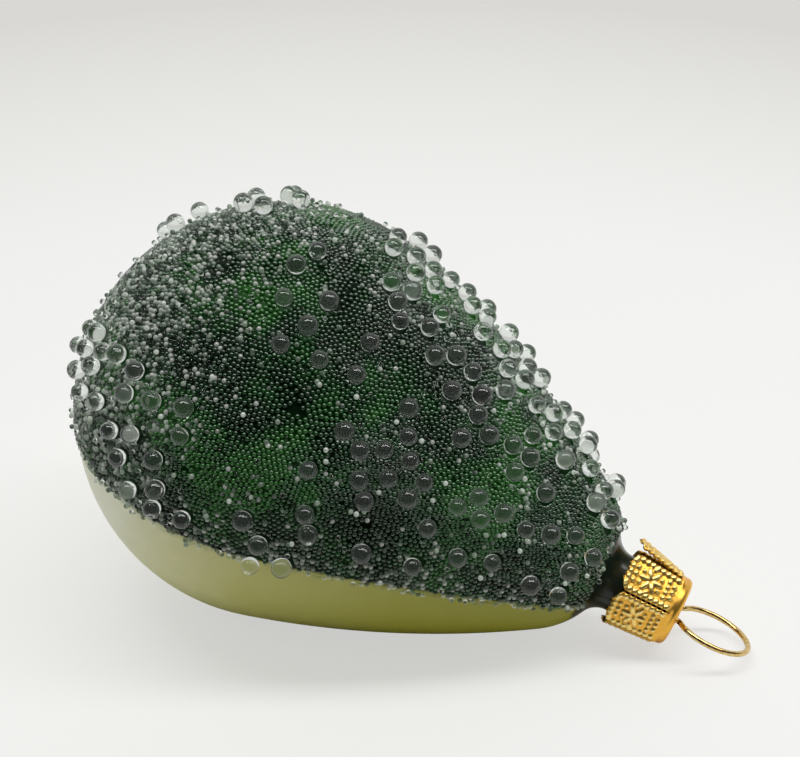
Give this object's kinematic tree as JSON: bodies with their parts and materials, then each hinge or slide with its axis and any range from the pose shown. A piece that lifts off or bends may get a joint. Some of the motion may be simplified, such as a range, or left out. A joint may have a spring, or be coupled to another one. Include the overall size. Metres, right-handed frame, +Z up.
{
  "type": "avocado tree ornament",
  "caption": "Blown glass avocado tree ornament lying on its flesh side, with a dark green skin of clear glass beads, a stamped gilt crown cap and a wire hanging loop.",
  "frame": {"origin": "middle of the flattened rest face under the flesh side", "axes": "+X along the floor towards the cap, +Z up, -Y towards the side that the picture shows"},
  "size_m": [0.0982, 0.0637, 0.0593],
  "materials": {
    "lacquered_glass": "blown glass with a dark green skin, yellow-green satin flesh and black neck lacquer",
    "fine_glass_beads": "clear fine glass beads in one layer",
    "large_glass_beads": "clear glass beads",
    "gilt_cap": "stamped gilt sheet with an embossed star and granulated borders",
    "gilt_wire": "bright drawn wire"
  },
  "bodies": {
    "cap": {"crown_cap": "gilt_cap"},
    "glass": {"glass_shell": "lacquered_glass", "fine_bead_coat": "fine_glass_beads", "large_beads_crest": "large_glass_beads", "large_beads_near_flank": "large_glass_beads", "large_beads_far_flank": "large_glass_beads", "large_beads_fat_end": "large_glass_beads", "large_beads_fat_crest": "large_glass_beads", "large_beads_near_edge": "large_glass_beads", "large_beads_belly": "large_glass_beads"},
    "hanger": {"hanger_wire": "gilt_wire"}
  },
  "joints": [
    {"name": "glass_pull", "type": "slide", "parent": "cap", "child": "glass", "axis": [-0.9336, 0, 0.3584], "range_m": [0, 0.024]},
    {"name": "hanger_turn", "type": "hinge", "parent": "cap", "child": "hanger", "pos_m": [0.04848, 0, 0.00552], "axis": [0.9336, 0, -0.3584], "continuous": true}
  ]
}
